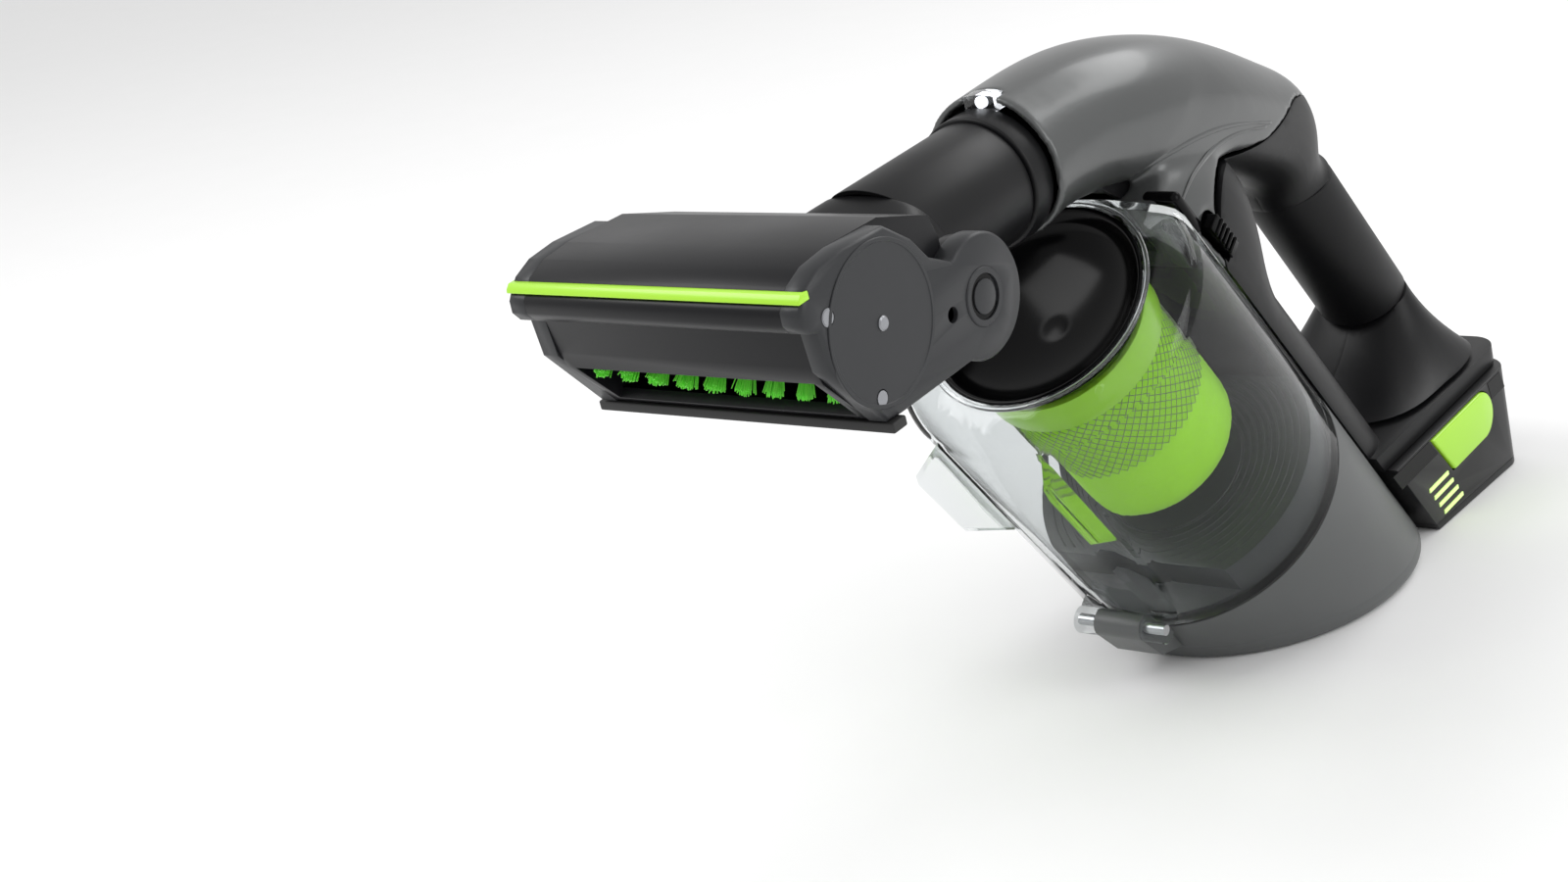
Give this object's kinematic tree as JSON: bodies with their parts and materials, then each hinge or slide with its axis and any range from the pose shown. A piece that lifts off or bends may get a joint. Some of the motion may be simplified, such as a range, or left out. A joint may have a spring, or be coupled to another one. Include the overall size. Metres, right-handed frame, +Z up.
{
  "type": "handheld vacuum cleaner",
  "caption": "Cordless handheld vacuum with a clear cyclone bin, a looped handle, a slide-on battery and a powered brush head on its nozzle.",
  "frame": {"origin": "on the floor under the middle of the machine's box, standing on its motor housing and battery", "axes": "+Z up, -Y towards the nozzle and brush head, +X towards the machine's left side; the nozzle's own axis points 4 degrees below -Y"},
  "size_m": [0.115, 0.4382, 0.2327],
  "materials": {
    "graphite_shell": "satin metallic graphite",
    "grey_housing": "satin",
    "black_plastic": "soft touch",
    "battery_plastic": "satin",
    "grip_rubber": "soft touch",
    "gloss_black": "gloss",
    "dark_grey_plastic": "satin",
    "head_plastic": "satin",
    "cover_grey": "satin",
    "clear_plastic": "clear polycarbonate",
    "lens": "clear",
    "green_plastic": "satin lime",
    "green_clear": "translucent lime",
    "green_foam": "open-cell foam",
    "green_bristle": "nylon filament",
    "mesh_metal": "fine perforated",
    "light_bars": "light guide",
    "seal_rubber": "matt",
    "belt_rubber": "toothed",
    "filter_pad": "felt",
    "circuit_board": "solder mask",
    "contact_metal": "plated",
    "screw_steel": "plain",
    "cover_screw_steel": "satin",
    "spring_steel": "plain",
    "motor_steel": "drawn can",
    "cell_steel": "sleeved cell",
    "fan_metal": "pressed",
    "bush_brass": "sintered"
  },
  "bodies": {
    "machine": {"spine_shell": "graphite_shell", "headlight_lens": "lens", "handle_left": "black_plastic", "handle_right": "black_plastic", "grip_sleeve": "grip_rubber", "handle_screws": "screw_steel", "power_switch": "black_plastic", "control_board": "circuit_board", "battery_contacts": "contact_metal", "inlet_duct": "black_plastic", "nozzle_collar": "black_plastic", "inlet_seal": "seal_rubber", "catch_spring": "spring_steel", "hinge_pin": "screw_steel", "motor_housing": "grey_housing", "base_cover": "grey_housing", "exhaust_filter": "filter_pad", "housing_screws": "screw_steel", "bulkhead": "dark_grey_plastic", "bin_seal": "seal_rubber", "motor_bracket": "dark_grey_plastic", "motor_can": "motor_steel", "motor_mount": "seal_rubber"},
    "power_button": {"power_button": "green_plastic"},
    "fan": {"motor_shaft": "screw_steel", "fan_impeller": "fan_metal"},
    "bin": {"bin_shell": "clear_plastic", "filter_cup": "gloss_black", "shroud_band": "green_clear", "shroud_mesh": "mesh_metal", "filter_foam": "green_foam", "filter_cage": "dark_grey_plastic"},
    "catch": {"bin_catch": "gloss_black"},
    "battery": {"battery_case": "battery_plastic", "battery_base": "battery_plastic", "charge_lights": "light_bars", "battery_cells": "cell_steel", "battery_board": "circuit_board", "battery_terminals": "contact_metal", "button_springs": "spring_steel"},
    "battery_button_left": {"battery_button_left": "green_plastic"},
    "battery_button_right": {"battery_button_right": "green_plastic"},
    "neck": {"nozzle_tube": "black_plastic", "neck": "black_plastic", "drive_motor": "motor_steel"},
    "drive": {"drive_shaft": "screw_steel", "drive_pulley": "dark_grey_plastic"},
    "head": {"head_housing": "head_plastic", "bumper_strip": "green_plastic", "side_cover": "cover_grey", "end_cap": "cover_grey", "cover_screws": "cover_screw_steel", "pivot_cap": "cover_grey", "head_lip": "seal_rubber", "drive_belt": "belt_rubber", "roller_bushes": "bush_brass"},
    "roller": {"roller_axle": "screw_steel", "roller_core": "head_plastic", "roller_pulley": "dark_grey_plastic", "bristle_tufts": "green_bristle"}
  },
  "joints": [
    {"name": "power_press", "type": "slide", "parent": "machine", "child": "power_button", "axis": [0, -0.788, -0.6157], "range_m": [0, 0.0015], "stiffness_N_per_m": 900},
    {"name": "fan_spin", "type": "hinge", "parent": "machine", "child": "fan", "pos_m": [0, 0.05199, 0.03902], "axis": [0, -0.6157, 0.788], "continuous": true},
    {"name": "bin_hinge", "type": "hinge", "parent": "machine", "child": "bin", "pos_m": [0, -0.01717, 0.02522], "axis": [1, 0, 0], "range_deg": [0, 68]},
    {"name": "catch_press", "type": "slide", "parent": "machine", "child": "catch", "axis": [-1, 0, 0], "range_m": [0, 0.0025], "stiffness_N_per_m": 900},
    {"name": "battery_slide", "type": "slide", "parent": "machine", "child": "battery", "axis": [0, 0.9976, 0.0698], "range_m": [0, 0.11]},
    {"name": "battery_left_press", "type": "slide", "parent": "battery", "child": "battery_button_left", "axis": [-1, 0, 0], "range_m": [0, 0.0025], "stiffness_N_per_m": 900},
    {"name": "battery_right_press", "type": "slide", "parent": "battery", "child": "battery_button_right", "axis": [1, 0, 0], "range_m": [0, 0.0025], "stiffness_N_per_m": 900},
    {"name": "head_pull", "type": "slide", "parent": "machine", "child": "neck", "axis": [0, -0.9976, -0.0698], "range_m": [0, 0.06]},
    {"name": "head_tilt", "type": "hinge", "parent": "neck", "child": "head", "pos_m": [0, -0.1383, 0.19374], "axis": [1, 0, 0], "range_deg": [-30, 30]},
    {"name": "roller_spin", "type": "hinge", "parent": "head", "child": "roller", "pos_m": [0, -0.18602, 0.20244], "axis": [1, 0, 0], "continuous": true},
    {"name": "drive_spin", "type": "hinge", "parent": "neck", "child": "drive", "pos_m": [0, -0.1383, 0.19374], "axis": [1, 0, 0], "continuous": true}
  ],
  "couplings": [
    {"joint": "drive_spin", "follows": "roller_spin", "ratio": 2}
  ]
}
